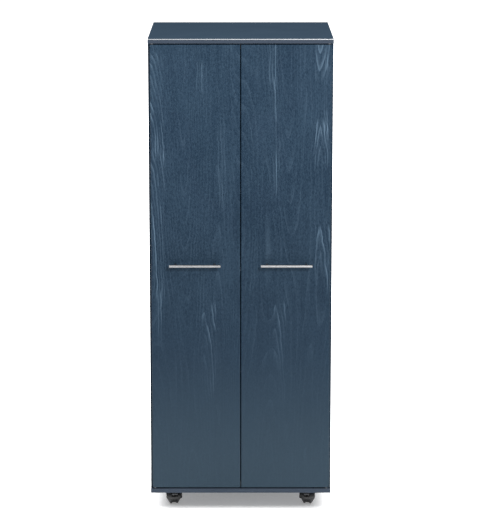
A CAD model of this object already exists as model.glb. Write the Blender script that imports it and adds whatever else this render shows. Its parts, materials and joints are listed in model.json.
import json
import math

import bmesh
import bpy
from mathutils import Matrix, Vector


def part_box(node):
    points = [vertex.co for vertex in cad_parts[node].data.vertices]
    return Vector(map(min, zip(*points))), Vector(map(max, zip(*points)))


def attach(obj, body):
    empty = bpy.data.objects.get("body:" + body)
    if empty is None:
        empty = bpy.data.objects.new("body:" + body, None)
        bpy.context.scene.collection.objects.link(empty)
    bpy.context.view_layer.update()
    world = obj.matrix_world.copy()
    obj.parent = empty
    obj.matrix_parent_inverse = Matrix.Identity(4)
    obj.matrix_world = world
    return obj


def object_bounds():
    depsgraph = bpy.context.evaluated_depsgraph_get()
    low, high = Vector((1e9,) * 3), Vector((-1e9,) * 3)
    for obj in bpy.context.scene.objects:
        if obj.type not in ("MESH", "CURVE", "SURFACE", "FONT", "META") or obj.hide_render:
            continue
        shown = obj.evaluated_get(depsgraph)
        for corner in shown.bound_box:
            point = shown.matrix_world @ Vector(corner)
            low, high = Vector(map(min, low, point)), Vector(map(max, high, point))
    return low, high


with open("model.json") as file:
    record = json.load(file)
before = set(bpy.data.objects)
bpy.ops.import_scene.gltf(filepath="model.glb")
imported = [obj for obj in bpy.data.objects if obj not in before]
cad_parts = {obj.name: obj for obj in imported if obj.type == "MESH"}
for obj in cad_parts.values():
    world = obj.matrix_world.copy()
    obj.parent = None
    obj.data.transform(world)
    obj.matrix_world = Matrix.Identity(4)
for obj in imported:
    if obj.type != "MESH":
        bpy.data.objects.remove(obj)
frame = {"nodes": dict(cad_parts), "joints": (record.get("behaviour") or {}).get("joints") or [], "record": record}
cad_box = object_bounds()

NODES = frame["nodes"]
MM = 0.001

# ---------- places, all taken from the frame ----------
CORNERS = ("front_left", "front_right", "rear_left", "rear_right")
LEFT_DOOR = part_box("door_left_panel")
RIGHT_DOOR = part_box("door_right_panel")
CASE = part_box("bottom_board")
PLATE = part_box("top_plate")
FRONT_Y = CASE[0].y
FLOOR_Z = cad_box[0].z
CENTRE = (cad_box[0] + cad_box[1]) / 2

# ---------- camera and light ----------
CAMERA_DISTANCE = 7.5        # in front of the case
CAMERA_X = -0.0033
CAMERA_Z = 2.371
CAMERA_PITCH = 11.332        # degrees down
CAMERA_YAW = -0.058          # degrees to the left
CAMERA_LENS = 164.17
CAMERA_SENSOR = 36.0
WORLD_STRENGTH = 0.55
KEY_PLACE = (1.3, -4.6, 3.2)
KEY_SIZE = (0.9, 0.9)
KEY_POWER = 250.0
HIGH_PLACE = (0.3, -1.9, 2.9)
HIGH_TARGET = (0.0, FRONT_Y, 1.6)
HIGH_SIZE = (1.2, 0.5)
HIGH_POWER = 7.0
OVERHEAD_PLACE = (0.0, 4.0, 6.0)
OVERHEAD_TARGET = (0.0, 4.001, 0.0)  # not quite straight down, so that it has an up direction
OVERHEAD_SIZE = (14.0, 20.0)
OVERHEAD_POWER = 3100.0
FLOOR_SIZE = 80.0
FLOOR_GLOW = 0.25

# ---------- the wood's figure ----------
ARCH_POWER = 1.5             # 2 makes round arches, and less makes them pointed
SOFT_SIDE = 0.004            # how softly a heart's window ends to its sides
SOFT_FOOT = 0.06             # and at its bottom
SOFT_HEAD = 0.03             # and at its top
HAZE_FOOT, HAZE_TOP = 0.08, 0.62     # the pale haze fades out between these heights
HAZE_SHARE = 0.32
SHADE_LOW, SHADE_HIGH = 0.65, 1.50   # the stain goes from MID_SHADE to full between these heights
MID_SHADE = 0.80

# ---------- colours, as linear light ----------
STAIN_DARK = (0.0046, 0.0150, 0.0300, 1)
STAIN = (0.0072, 0.0210, 0.0396, 1)
STAIN_PALE = (0.062, 0.100, 0.142, 1)
HAZE = (0.044, 0.066, 0.081, 1)
LAMINATE = (0.057, 0.091, 0.133, 1)
LAMINATE_DARK = (0.052, 0.084, 0.124, 1)
EDGE_STAIN = (0.029, 0.040, 0.058, 1)
EDGE_DARK = (0.023, 0.032, 0.047, 1)
PLATE_CORE = (0.016, 0.020, 0.028, 1)
FIBREBOARD = (0.030, 0.048, 0.070, 1)
EDGE_METAL = (0.48, 0.49, 0.50, 1)
NICKEL = (0.240, 0.242, 0.248, 1)
NICKEL_DARK = (0.185, 0.187, 0.192, 1)
ZINC = (0.21, 0.215, 0.22, 1)
ZINC_BLUE = (0.165, 0.175, 0.19, 1)
CAST_ZINC = (0.46, 0.46, 0.45, 1)
BEECH = (0.42, 0.24, 0.12, 1)
BEECH_DARK = (0.30, 0.15, 0.07, 1)
BUMPER = (0.30, 0.32, 0.33, 1)
BUMPER_SHADE = (0.22, 0.24, 0.25, 1)
NYLON_BLACK = (0.007, 0.0073, 0.0080, 1)
NYLON_DUST = (0.022, 0.022, 0.023, 1)
WHEEL_BLACK = (0.008, 0.008, 0.009, 1)
PEDAL_GREY = (0.075, 0.078, 0.082, 1)
PEDAL_WORN = (0.12, 0.122, 0.125, 1)
FLOOR_WHITE = (0.93, 0.93, 0.93, 1)
FLOOR_CLOUD = (0.90, 0.90, 0.90, 1)
WHITE = (1, 1, 1, 1)

# ---------- the wheels' domed sides ----------
DOME_CENTRE = 25.5 * MM      # from the caster's middle to the middle of a wheel's domed side
DOME_HEIGHT = 13.5 * MM
DOME_POWER = 1.4
WHEEL_R = 25.0 * MM
CAP_R = 6.0 * MM
CAP_HOLE_R = 0.3 * MM        # a hair's width, so that no two rows of points meet on the axle
CAP_SINK = 0.6 * MM          # how deep the cap's foot lies in the dome
CAP_RISE = 0.25 * MM
CAP_BULGE = 0.55 * MM
CAP_ANGLES = (90, 75, 60, 45, 30, 15, 3)
RING_R = 17.5 * MM
BEAD_R = 0.55 * MM
BEAD_SIDES = 10


class Graph:
    """A material or node group that is built with short calls.

    A value that a call takes is a number, a colour, a vector or another node's output."""

    def __init__(self, tree):
        self.tree = tree

    def put(self, socket, value):
        if isinstance(value, bpy.types.NodeSocket):
            self.tree.links.new(value, socket)
        else:
            socket.default_value = value

    def node(self, kind, inputs, **settings):
        made = self.tree.nodes.new("ShaderNode" + kind)
        for key, value in settings.items():
            setattr(made, key, value)
        for key, value in inputs.items():
            self.put(made.inputs[key], value)
        return made

    def math(self, operation, a, b=0.0):
        return self.node("Math", {0: a, 1: b}, operation=operation).outputs[0]

    def add(self, *values):
        total = values[0]
        for value in values[1:]:
            total = self.math("ADD", total, value)
        return total

    def times(self, *values):
        total = values[0]
        for value in values[1:]:
            total = self.math("MULTIPLY", total, value)
        return total

    def place(self):
        """Position in the row frame at rest, in metres: it rides with the piece."""
        return self.node("TexCoord", {}).outputs["Object"]

    def axes(self, vector):
        split = self.node("SeparateXYZ", {0: vector})
        return split.outputs[0], split.outputs[1], split.outputs[2]

    def vector(self, x, y, z):
        return self.node("CombineXYZ", {0: x, 1: y, 2: z}).outputs[0]

    def stretch(self, vector, x, y, z):
        return self.node("VectorMath", {0: vector, 1: (x, y, z)}, operation="MULTIPLY").outputs[0]

    def noise(self, vector, scale=1.0, detail=2.0, roughness=0.5, distortion=0.0):
        inputs = {"Vector": vector, "Scale": scale, "Detail": detail,
                  "Roughness": roughness, "Distortion": distortion}
        return self.node("TexNoise", inputs).outputs["Fac"]

    def cells(self, vector, scale):
        return self.node("TexVoronoi", {"Vector": vector, "Scale": scale}).outputs["Distance"]

    def ease(self, value, start, end, low=0.0, high=1.0):
        """low before start, high after end, and smooth between them."""
        inputs = {0: value, 1: start, 2: end, 3: low, 4: high}
        return self.node("MapRange", inputs, interpolation_type="SMOOTHSTEP").outputs[0]

    def mix(self, share, a, b, blend="MIX"):
        made = self.node("Mix", {}, data_type="RGBA", blend_type=blend)
        self.put(made.inputs[0], share)
        self.put(made.inputs[6], a)
        self.put(made.inputs[7], b)
        return made.outputs[2]

    def bump(self, height, strength, distance):
        inputs = {"Height": height, "Strength": strength, "Distance": distance}
        return self.node("Bump", inputs).outputs[0]


def material(name, colour_of):
    """A material whose function takes a Graph and returns the shader's inputs."""
    made = bpy.data.materials.new(name)
    made.use_nodes = True
    graph = Graph(made.node_tree)
    shader = made.node_tree.nodes["Principled BSDF"]
    for key, value in colour_of(graph).items():
        graph.put(shader.inputs[key], value)
    return made


# ---------- stained wood ----------
def heart_group():
    """One heart of flat-sawn figure: pale ring lines that arch over X, Z, in a soft window.

    The lines run straight on beyond Z. A Taper below 0 turns the arches upside down, and 0
    makes straight lines only."""
    tree = bpy.data.node_groups.new("heart", "ShaderNodeTree")
    names = ("X", "Z", "Taper", "Pitch", "Left", "Right", "Bottom", "Top", "Strength", "Seed")
    tree.interface.new_socket("Place", in_out="INPUT", socket_type="NodeSocketVector")
    for name in names:
        tree.interface.new_socket(name, in_out="INPUT", socket_type="NodeSocketFloat")
    tree.interface.new_socket("Line", in_out="OUTPUT", socket_type="NodeSocketFloat")
    g = Graph(tree)
    given = tree.nodes.new("NodeGroupInput").outputs
    x, _, z = g.axes(given["Place"])
    across = g.math("SUBTRACT", x, given["X"])
    depth = g.math("MAXIMUM", g.times(g.math("SUBTRACT", z, given["Z"]), given["Taper"]), 0.0)
    aside = g.math("POWER", g.math("ABSOLUTE", across), ARCH_POWER)
    radius = g.math("POWER", g.add(aside, g.math("POWER", depth, ARCH_POWER)), 1 / ARCH_POWER)
    count = g.math("DIVIDE", radius, given["Pitch"])
    within = g.math("FRACT", count)
    ring = g.add(g.math("FLOOR", count), given["Seed"])
    chance = g.node("TexWhiteNoise", {"W": ring}, noise_dimensions="1D").outputs["Value"]
    rise = g.math("POWER", within, 3.0)
    line = g.times(rise, g.ease(within, 0.86, 1.0, 1.0, 0.0), g.ease(chance, 0.1, 0.9, 0.35, 1.4),
                   g.ease(count, 0.95, 1.05))
    share = g.math("DIVIDE", g.math("ABSOLUTE", across), g.math("MAXIMUM", radius, 0.0005))
    peak = g.ease(share, 0.0, 0.5, 1.0, 1.1)
    window = g.times(
        g.ease(x, g.math("SUBTRACT", given["Left"], SOFT_SIDE), g.add(given["Left"], SOFT_SIDE)),
        g.ease(x, g.math("SUBTRACT", given["Right"], SOFT_SIDE), g.add(given["Right"], SOFT_SIDE),
               1.0, 0.0),
        g.ease(z, given["Bottom"], g.add(given["Bottom"], SOFT_FOOT)),
        g.ease(z, g.math("SUBTRACT", given["Top"], SOFT_HEAD), given["Top"], 1.0, 0.0))
    out = tree.nodes.new("NodeGroupOutput")
    g.put(out.inputs["Line"], g.times(line, peak, window, given["Strength"]))
    return tree


HEART = heart_group()


def figure(g, place, hearts):
    """The sum of a board's hearts, each given as the group's inputs from X to Strength."""
    total = 0.0
    for seed, heart in enumerate(hearts):
        made = g.tree.nodes.new("ShaderNodeGroup")
        made.node_tree = HEART
        g.put(made.inputs["Place"], place)
        for key, value in zip(("X", "Z", "Taper", "Pitch", "Left", "Right", "Bottom", "Top",
                               "Strength"), heart):
            made.inputs[key].default_value = value
        made.inputs["Seed"].default_value = 17.0 * seed
        total = g.add(total, made.outputs["Line"])
    return total


def stained_wood(hearts, turned=False):
    """Stained open-pored ash with the grain along Z. turned is for a board that faces X."""
    def build(g):
        place = g.place()
        if turned:
            x, y, z = g.axes(place)
            place = g.vector(y, x, z)
        x, y, z = g.axes(place)
        # the grain wanders sideways
        sway = g.noise(g.stretch(place, 3.0, 3.0, 2.2), 1.0, 1.0)
        waver = g.noise(g.stretch(place, 26.0, 26.0, 15.0), 1.0, 2.0)
        ripple = g.noise(g.stretch(place, 120.0, 120.0, 70.0), 1.0, 1.0)
        shift = g.add(g.times(g.math("SUBTRACT", sway, 0.5), 0.022),
                      g.times(g.math("SUBTRACT", waver, 0.5), 0.0140),
                      g.times(g.math("SUBTRACT", ripple, 0.5), 0.0012))
        bent = g.vector(g.add(x, shift), y, z)
        # pale lines, fainter towards the bottom and broken up
        fading = g.ease(z, 0.30, 0.95, 0.25, 1.0)
        breaks = g.ease(g.noise(g.stretch(place, 40.0, 40.0, 9.0), 1.0, 2.0), 0.35, 0.62, 0.3, 1.15)
        lines = g.times(figure(g, bent, hearts), fading, breaks)
        loops = g.math("FRACT", g.times(g.noise(g.stretch(bent, 8.0, 8.0, 0.8), 1.0, 0.0), 26.0))
        lines = g.add(lines, g.times(g.math("POWER", loops, 5.0), fading, breaks, 0.22))
        # the stain's unevenness, from fine to broad
        streak = g.noise(g.stretch(bent, 230.0, 230.0, 2.4), 1.0, 3.0, 0.6)
        fibre = g.noise(g.stretch(bent, 1100.0, 1100.0, 22.0), 1.0, 2.0, 0.6)
        pores = g.ease(g.noise(g.stretch(bent, 1500.0, 1500.0, 60.0), 1.0, 1.0), 0.60, 0.72)
        fleck = g.noise(g.stretch(place, 420.0, 420.0, 210.0), 1.0, 2.0, 0.7)
        crinkle = g.noise(g.stretch(bent, 230.0, 230.0, 120.0), 1.0, 2.0, 0.6, 0.8)
        cloud = g.noise(g.stretch(place, 9.0, 9.0, 5.0), 1.0, 3.0, 0.55)
        bands = g.noise(g.stretch(bent, 34.0, 34.0, 1.1), 1.0, 2.0, 0.5)
        tone = g.times(fading, g.add(g.times(g.math("SUBTRACT", streak, 0.5), 0.55),
                                     g.times(g.math("SUBTRACT", fibre, 0.5), 0.35),
                                     g.times(g.math("SUBTRACT", fleck, 0.5), 0.40),
                                     g.times(g.math("SUBTRACT", crinkle, 0.5), 1.9),
                                     g.times(g.math("SUBTRACT", cloud, 0.5), 0.7),
                                     g.times(g.math("SUBTRACT", bands, 0.5), 0.3)))
        stain = g.mix(g.ease(tone, -0.45, 0.45), STAIN_DARK, g.mix(0.16, STAIN, STAIN_PALE))
        shade = g.ease(z, SHADE_LOW, SHADE_HIGH, MID_SHADE, 1.0)
        stain = g.mix(1.0, stain, g.vector(shade, shade, shade), "MULTIPLY")
        stain = g.mix(g.ease(z, HAZE_FOOT, HAZE_TOP, HAZE_SHARE, 0.0), stain, HAZE)
        share = g.math("MINIMUM", g.times(lines, 0.75), 1.0)
        colour = g.mix(share, stain, STAIN_PALE)
        colour = g.mix(g.times(pores, 0.18), colour, STAIN_DARK)
        height = g.add(g.times(lines, 0.8), g.times(streak, 0.5), g.times(fibre, 0.35),
                       g.times(pores, -0.5))
        return {"Base Color": colour,
                "Roughness": g.ease(g.add(cloud, g.times(fibre, 0.4)), 0.4, 1.0, 0.42, 0.56),
                "Specular IOR Level": 0.08,
                "Normal": g.bump(height, 0.55, 0.35 * MM)}
    return build


# A door's hearts are placed from its outer edge (x) and its top (z). Each is: x, z, taper,
# pitch, left, right, bottom, top, strength.
LEFT_HEARTS = (
    (-0.002, -0.321, 0.200, 0.0076, -0.010, 0.044, -0.400, -0.015, 1.20),
    (-0.002, -0.711, 0.110, 0.0075, -0.010, 0.044, -0.860, -0.335, 1.25),
    (0.000, -0.300, 0.000, 0.0080, 0.016, 0.038, -0.990, -0.800, 0.90),
    (0.000, -0.300, 0.000, 0.0085, 0.148, 0.170, -0.175, -0.045, 1.90),
    (0.000, -0.300, 0.000, 0.0085, 0.244, 0.270, -0.060, 0.030, 1.60),
    (0.206, -0.590, 0.030, 0.0090, 0.216, 0.240, -0.560, -0.215, 0.45),
    (0.169, -1.161, 0.120, 0.0085, 0.165, 0.208, -1.215, -0.840, 1.00),
)
RIGHT_HEARTS = (
    (0.000, -0.300, 0.000, 0.0090, 0.178, 0.198, -0.155, 0.030, 1.90),
    (0.200, -0.600, 0.030, 0.0090, 0.164, 0.190, -0.520, -0.095, 1.05),
    (0.035, 0.080, -0.170, 0.0096, 0.000, 0.050, -0.130, 0.030, 1.30),
    (0.033, -0.461, 0.100, 0.0068, 0.004, 0.052, -0.420, -0.235, 1.60),
    (0.033, -0.861, 0.090, 0.0084, 0.000, 0.048, -0.830, -0.580, 0.95),
    (0.000, -0.300, 0.000, 0.0065, 0.006, 0.021, -0.370, 0.030, 1.10),
    (0.181, -1.161, 0.110, 0.0085, 0.148, 0.186, -1.215, -0.835, 1.00),
)
SIDE_HEARTS = (
    (-0.150, 0.95, 0.110, 0.0080, -0.215, -0.110, 0.70, 1.45, 0.60),
    (0.060, 0.45, 0.110, 0.0078, 0.000, 0.105, 0.30, 1.05, 0.65),
    (0.180, 1.75, -0.110, 0.0084, 0.140, 0.250, 1.00, 1.56, 0.55),
)


def door_hearts(hearts, outer_x, inward):
    """A door's hearts in the row frame. inward is 1 on the left door and -1 on the right door."""
    top = LEFT_DOOR[1].z
    placed = []
    for x, z, taper, pitch, left, right, bottom, high, strength in hearts:
        sides = sorted((outer_x + inward * left, outer_x + inward * right))
        placed.append((outer_x + inward * x, top + z, taper, pitch, sides[0], sides[1],
                       top + bottom, top + high, strength))
    return placed


def stained_edge(g):
    """The long edges and faces of the top and bottom boards, with their grain along X."""
    place = g.place()
    streak = g.noise(g.stretch(place, 5.0, 260.0, 260.0), 1.0, 3.0, 0.6)
    fibre = g.noise(g.stretch(place, 30.0, 1200.0, 1200.0), 1.0, 2.0, 0.6)
    cloud = g.noise(g.stretch(place, 7.0, 7.0, 7.0), 1.0, 3.0)
    tone = g.add(g.times(streak, 0.5), g.times(fibre, 0.25), g.times(cloud, 0.25))
    return {"Base Color": g.mix(g.ease(tone, 0.30, 0.70), EDGE_DARK, EDGE_STAIN),
            "Roughness": g.ease(fibre, 0.3, 0.7, 0.36, 0.46),
            "Specular IOR Level": 0.1,
            "Normal": g.bump(g.add(streak, fibre), 0.25, 0.2 * MM)}


def top_plate(g):
    """Plain laminate with a fine peel texture above, and a bright polished rim."""
    place = g.place()
    up = g.math("ABSOLUTE", g.axes(g.node("NewGeometry", {}).outputs["Normal"])[2])
    rim = g.ease(up, 0.35, 0.65, 1.0, 0.0)
    low = PLATE[0].z
    band = g.ease(g.axes(place)[2], low + 1.1 * MM, low + 1.5 * MM)
    peel = g.noise(place, 900.0, 2.0, 0.5)
    cloud = g.noise(place, 11.0, 3.0, 0.5)
    brushed = g.noise(g.stretch(place, 12.0, 12.0, 2400.0), 1.0, 2.0, 0.6)
    face = g.mix(g.ease(g.add(g.times(cloud, 0.6), g.times(peel, 0.4)), 0.35, 0.65),
                 LAMINATE_DARK, LAMINATE)
    metal = g.mix(g.ease(brushed, 0.3, 0.7), EDGE_METAL, g.mix(0.12, EDGE_METAL, ZINC_BLUE))
    return {"Base Color": g.mix(rim, face, g.mix(band, PLATE_CORE, metal)),
            "Metallic": g.times(rim, band, 0.75),
            "Roughness": g.add(g.ease(peel, 0.3, 0.7, 0.36, 0.44), g.times(rim, -0.12)),
            "Specular IOR Level": 0.0,
            "Normal": g.bump(peel, 0.12, 0.1 * MM)}


def inner_board(g):
    """Smooth faced board inside the cabinet, with a faint printed pore along X."""
    place = g.place()
    pore = g.noise(g.stretch(place, 18.0, 600.0, 600.0), 1.0, 2.0, 0.6)
    cloud = g.noise(place, 5.0, 3.0, 0.5)
    tone = g.add(g.times(pore, 0.5), g.times(cloud, 0.5))
    return {"Base Color": g.mix(g.ease(tone, 0.35, 0.65), LAMINATE_DARK,
                                g.mix(0.25, LAMINATE, STAIN_PALE)),
            "Roughness": g.ease(pore, 0.3, 0.7, 0.46, 0.56),
            "Specular IOR Level": 0.35,
            "Normal": g.bump(pore, 0.2, 0.1 * MM)}


def back_board(g):
    """Thin fibreboard: a matt painted face with pressed fibres."""
    place = g.place()
    fibres = g.noise(place, 520.0, 4.0, 0.65, 0.6)
    screen = g.cells(place, 700.0)
    cloud = g.noise(place, 4.0, 3.0, 0.5)
    tone = g.add(g.times(fibres, 0.6), g.times(cloud, 0.4))
    return {"Base Color": g.mix(g.ease(tone, 0.35, 0.65), FIBREBOARD,
                                g.mix(0.5, FIBREBOARD, LAMINATE)),
            "Roughness": g.ease(fibres, 0.3, 0.7, 0.62, 0.78),
            "Specular IOR Level": 0.3,
            "Normal": g.bump(g.add(fibres, g.times(screen, 0.4)), 0.35, 0.2 * MM)}


# ---------- metals ----------
def satin_nickel(g):
    """Satin nickel, brushed round the bar's length, with faint handling marks."""
    place = g.place()
    brushed = g.noise(g.stretch(place, 90.0, 5200.0, 5200.0), 1.0, 3.0, 0.7)
    marks = g.ease(g.noise(place, 160.0, 3.0, 0.6), 0.52, 0.7)
    cloud = g.noise(place, 35.0, 2.0, 0.5)
    colour = g.mix(g.ease(g.add(g.times(brushed, 0.6), g.times(cloud, 0.4)), 0.3, 0.7),
                   NICKEL_DARK, NICKEL)
    return {"Base Color": colour, "Metallic": 1.0,
            "Roughness": g.add(g.ease(brushed, 0.25, 0.75, 0.27, 0.38), g.times(marks, 0.05)),
            "Anisotropic": 0.45,
            "Normal": g.bump(brushed, 0.18, 0.05 * MM)}


def zinc_plate(g):
    """Bright zinc plate with a faint blue passivation and small scratches."""
    place = g.place()
    spangle = g.cells(place, 240.0)
    rolled = g.noise(g.stretch(place, 2200.0, 160.0, 2200.0), 1.0, 2.0, 0.6)
    film = g.noise(place, 90.0, 3.0, 0.5)
    return {"Base Color": g.mix(g.ease(g.add(g.times(film, 0.7), g.times(spangle, 0.3)), 0.2, 0.7),
                                ZINC_BLUE, ZINC),
            "Metallic": 1.0,
            "Roughness": g.ease(rolled, 0.3, 0.7, 0.26, 0.40),
            "Normal": g.bump(rolled, 0.12, 0.05 * MM)}


def die_cast_zinc(g):
    """Grey die-cast zinc with a pebbled skin."""
    place = g.place()
    pebble = g.cells(place, 1500.0)
    film = g.noise(place, 300.0, 3.0, 0.5)
    return {"Base Color": g.mix(g.ease(film, 0.35, 0.65), CAST_ZINC, g.mix(0.4, CAST_ZINC, ZINC)),
            "Metallic": 1.0,
            "Roughness": g.ease(film, 0.3, 0.7, 0.42, 0.55),
            "Normal": g.bump(pebble, 0.3, 0.05 * MM)}


# ---------- small parts ----------
def beech(g):
    """Plain beech with short flecks along X and Z."""
    place = g.place()
    fleck = g.noise(g.stretch(place, 500.0, 1400.0, 500.0), 1.0, 3.0, 0.6)
    return {"Base Color": g.mix(g.ease(fleck, 0.35, 0.65), BEECH_DARK, BEECH),
            "Roughness": g.ease(fleck, 0.3, 0.7, 0.5, 0.62),
            "Normal": g.bump(fleck, 0.3, 0.1 * MM)}


def clear_bumper(g):
    """Soft translucent bumper, a little cloudy."""
    place = g.place()
    cloud = g.noise(place, 700.0, 2.0, 0.5)
    return {"Base Color": g.mix(g.ease(cloud, 0.3, 0.7), BUMPER, BUMPER_SHADE),
            "Roughness": g.ease(cloud, 0.3, 0.7, 0.22, 0.34),
            "Subsurface Weight": 0.25, "Subsurface Scale": 2.0 * MM,
            "Normal": g.bump(cloud, 0.1, 0.05 * MM)}


def black_nylon(g):
    """Moulded black nylon with a fine texture, and dust on what faces up."""
    place = g.place()
    grain = g.noise(place, 2300.0, 2.0, 0.6)
    up = g.axes(g.node("NewGeometry", {}).outputs["Normal"])[2]
    dust = g.times(g.ease(up, 0.2, 1.0), g.ease(g.noise(place, 220.0, 3.0, 0.6), 0.4, 0.75))
    return {"Base Color": g.mix(g.times(dust, 0.6), NYLON_BLACK, NYLON_DUST),
            "Roughness": g.add(g.ease(grain, 0.3, 0.7, 0.30, 0.38), g.times(dust, 0.15)),
            "Specular IOR Level": 0.5,
            "Normal": g.bump(grain, 0.22, 0.06 * MM)}


def wheel_nylon(centre):
    """Black wheel nylon with fine turned rings round its axle, and a scuffed tread."""
    def build(g):
        place = g.place()
        out = g.node("VectorMath", {0: place, 1: tuple(centre)}, operation="SUBTRACT").outputs[0]
        radius = g.node("VectorMath", {0: out}, operation="LENGTH").outputs["Value"]
        rings = g.math("SINE", g.times(radius, 2 * math.pi / (0.8 * MM)))
        grain = g.noise(place, 2100.0, 2.0, 0.6)
        tread = g.ease(radius, 24.0 * MM, 25.6 * MM)
        scuff = g.times(tread, g.ease(g.noise(g.stretch(place, 900.0, 120.0, 120.0), 1.0, 3.0),
                                      0.42, 0.68))
        return {"Base Color": g.mix(g.times(scuff, 0.7), WHEEL_BLACK, NYLON_DUST),
                "Roughness": g.add(g.ease(grain, 0.3, 0.7, 0.24, 0.32), g.times(scuff, 0.3)),
                "Specular IOR Level": 0.5,
                "Normal": g.bump(g.add(grain, g.times(rings, 0.25)), 0.15, 0.05 * MM)}
    return build


def pedal_plastic(g):
    """Dark grey moulded pedal, worn paler where shoes rub it."""
    place = g.place()
    grain = g.noise(place, 2400.0, 2.0, 0.6)
    wear = g.ease(g.noise(place, 260.0, 3.0, 0.6), 0.45, 0.7)
    return {"Base Color": g.mix(wear, PEDAL_GREY, PEDAL_WORN),
            "Roughness": g.ease(grain, 0.3, 0.7, 0.38, 0.5),
            "Normal": g.bump(grain, 0.25, 0.06 * MM)}


def floor_paint(g):
    """A plain pale floor with a barely visible unevenness."""
    cloud = g.noise(g.place(), 0.6, 2.0, 0.5)
    return {"Base Color": g.mix(g.ease(cloud, 0.3, 0.7, 0.0, 0.15), FLOOR_WHITE, FLOOR_CLOUD),
            "Roughness": 0.85, "Specular IOR Level": 0.0,
            "Emission Color": WHITE, "Emission Strength": FLOOR_GLOW}


# ---------- pieces ----------
def finish_piece(name, mesh_maker, look, body):
    """A new mesh object made by mesh_maker(bm), with its material, body and slot."""
    mesh = bpy.data.meshes.new(name)
    bm = bmesh.new()
    mesh_maker(bm)
    bmesh.ops.recalc_face_normals(bm, faces=bm.faces)
    for face in bm.faces:
        face.smooth = True
    bm.to_mesh(mesh)
    bm.free()
    mesh.materials.append(look)
    piece = bpy.data.objects.new(name, mesh)
    bpy.context.scene.collection.objects.link(piece)
    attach(piece, body)
    return piece


def lathe(bm, profile, matrix, steps=64):
    """Turns a closed profile of (radius, height) points round Z, then moves it by matrix."""
    rings = []
    for step in range(steps):
        angle = 2 * math.pi * step / steps
        rings.append([bm.verts.new(matrix @ Vector((r * math.cos(angle), r * math.sin(angle), h)))
                      for r, h in profile])
    for ring, after in zip(rings, rings[1:] + rings[:1]):
        for a, b in zip(range(len(profile)), [*range(1, len(profile)), 0]):
            bm.faces.new((ring[a], ring[b], after[b], after[a]))


def look(node, made):
    """Gives a CAD node its material."""
    slots = NODES[node].data.materials
    if len(slots) == 0:
        slots.append(made)
    for index in range(len(slots)):
        slots[index] = made


def joint(name):
    return next(j for j in frame["joints"] if j["name"] == name)


def wheel_frame(corner, side):
    """The wheel's own frame: its origin on the axle, and Z out through the wheel's domed side."""
    spin = joint(f"{corner}_{side}_wheel_spin")
    centre = Vector(spin["pos_m"])
    low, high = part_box(f"caster_{corner}_{side}_wheel")
    out = Vector(spin["axis"]).normalized()
    if out.dot((low + high) / 2 - centre) < 0:
        out = -out
    turn = out.to_track_quat("Z", "Y").to_matrix().to_4x4()
    return Matrix.Translation(centre) @ turn


def dome_height(radius):
    return DOME_CENTRE - DOME_HEIGHT * (radius / WHEEL_R) ** DOME_POWER


def wheel_cap(bm, matrix):
    """A low round cap over the axle and a raised ring round the domed side."""
    edge = dome_height(CAP_R)
    cap = [(CAP_HOLE_R, edge - CAP_SINK), (CAP_R, edge - CAP_SINK)]
    cap += [(CAP_R * math.sin(a), edge + CAP_RISE + CAP_BULGE * math.cos(a))
            for a in (math.radians(d) for d in CAP_ANGLES)]
    lathe(bm, cap, matrix)
    height = dome_height(RING_R)
    beads = [(RING_R + BEAD_R * math.cos(a), height + BEAD_R * math.sin(a))
             for a in (2 * math.pi * k / BEAD_SIDES for k in range(BEAD_SIDES))]
    lathe(bm, beads, matrix, 96)


def dress_wheels(wheel_look):
    for corner in CORNERS:
        for side in ("outer", "inner"):
            matrix = wheel_frame(corner, side)
            finish_piece(f"wheel_trim_{corner}_{side}", lambda bm, m=matrix: wheel_cap(bm, m),
                         wheel_look[corner], f"{corner}_{side}_wheel")


# ---------- stage ----------
def make_floor(made):
    """A wide plain floor, with a collection for the lights that leave it out."""
    mesh = bpy.data.meshes.new("floor")
    half = FLOOR_SIZE / 2
    corners = [(x * half, y * half, FLOOR_Z) for x, y in ((-1, -1), (1, -1), (1, 1), (-1, 1))]
    mesh.from_pydata(corners, [], [(0, 1, 2, 3)])
    mesh.materials.append(made)
    floor = bpy.data.objects.new("floor", mesh)
    bpy.context.scene.collection.objects.link(floor)
    only = bpy.data.collections.new("only_floor")
    only.objects.link(floor)
    others = bpy.data.collections.new("all_but_floor")
    others.objects.link(floor)
    others.collection_objects[0].light_linking.link_state = "EXCLUDE"
    return only, others


def area_light(name, place, target, size, power, lit):
    """A soft light that lights what the collection lit says."""
    lamp = bpy.data.lights.new(name, "AREA")
    lamp.shape = "RECTANGLE"
    lamp.size, lamp.size_y = size
    lamp.energy = power
    made = bpy.data.objects.new(name, lamp)
    made.location = place
    made.rotation_mode = "QUATERNION"
    made.rotation_quaternion = (Vector(target) - Vector(place)).to_track_quat("-Z", "Y")
    made.visible_camera = False
    made.light_linking.receiver_collection = lit
    bpy.context.scene.collection.objects.link(made)


def make_world():
    world = bpy.data.worlds.new("studio")
    world.use_nodes = True
    background = world.node_tree.nodes["Background"]
    background.inputs["Color"].default_value = WHITE
    background.inputs["Strength"].default_value = WORLD_STRENGTH
    bpy.context.scene.world = world


def make_camera():
    data = bpy.data.cameras.new("camera")
    data.sensor_fit = "AUTO"
    data.sensor_width = CAMERA_SENSOR
    data.lens = CAMERA_LENS
    data.clip_end = 200.0
    camera = bpy.data.objects.new("camera", data)
    camera.location = (CAMERA_X, FRONT_Y - CAMERA_DISTANCE, CAMERA_Z)
    camera.rotation_euler = (math.radians(90 - CAMERA_PITCH), 0, math.radians(CAMERA_YAW))
    bpy.context.scene.collection.objects.link(camera)
    bpy.context.scene.camera = camera


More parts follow.
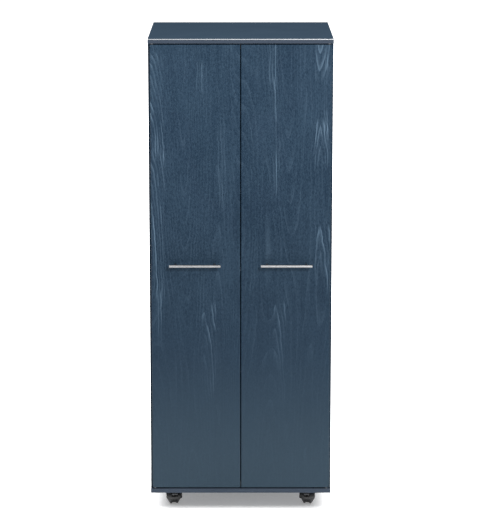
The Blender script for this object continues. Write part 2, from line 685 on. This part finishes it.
# ---------- the object ----------
def dress():
    wood_left = material("stained_ash_left_door",
                         stained_wood(door_hearts(LEFT_HEARTS, LEFT_DOOR[0].x, 1)))
    wood_right = material("stained_ash_right_door",
                          stained_wood(door_hearts(RIGHT_HEARTS, RIGHT_DOOR[1].x, -1)))
    wood_side = material("stained_ash_side", stained_wood(SIDE_HEARTS, turned=True))
    edge = material("stained_edge", stained_edge)
    plate = material("top_plate", top_plate)
    inner = material("inner_board", inner_board)
    back = material("back_board", back_board)
    nickel = material("satin_nickel", satin_nickel)
    zinc = material("zinc_plate", zinc_plate)
    cast = material("die_cast_zinc", die_cast_zinc)
    dowel = material("beech", beech)
    bumper = material("clear_bumper", clear_bumper)
    black = material("black_nylon", black_nylon)
    pedal = material("pedal_plastic", pedal_plastic)
    by_slot = {"stained_edge": edge, "top_plate": plate, "inner_board": inner, "back_board": back,
               "handle_metal": nickel, "zinc_steel": zinc, "die_cast_zinc": cast, "beech": dowel,
               "clear_bumper": bumper, "black_nylon": black, "grey_pedal": pedal}
    for part in frame["record"]["subparts"]:
        if part["material_slot"] in by_slot:
            look(part["node"], by_slot[part["material_slot"]])
    look("door_left_panel", wood_left)
    look("door_right_panel", wood_right)
    look("side_panel_left", wood_side)
    look("side_panel_right", wood_side)
    wheel_look = {}
    for corner in CORNERS:
        centre = joint(f"{corner}_outer_wheel_spin")["pos_m"]
        wheel_look[corner] = material(f"wheel_nylon_{corner}", wheel_nylon(centre))
        for side in ("outer", "inner"):
            look(f"caster_{corner}_{side}_wheel", wheel_look[corner])
    dress_wheels(wheel_look)


only_floor, all_but_floor = make_floor(material("floor_paint", floor_paint))
make_world()
make_camera()
area_light("key", KEY_PLACE, CENTRE, KEY_SIZE, KEY_POWER, all_but_floor)
area_light("high_card", HIGH_PLACE, HIGH_TARGET, HIGH_SIZE, HIGH_POWER, all_but_floor)
area_light("overhead", OVERHEAD_PLACE, OVERHEAD_TARGET, OVERHEAD_SIZE, OVERHEAD_POWER, only_floor)
bpy.context.scene.view_settings.view_transform = "Standard"
dress()
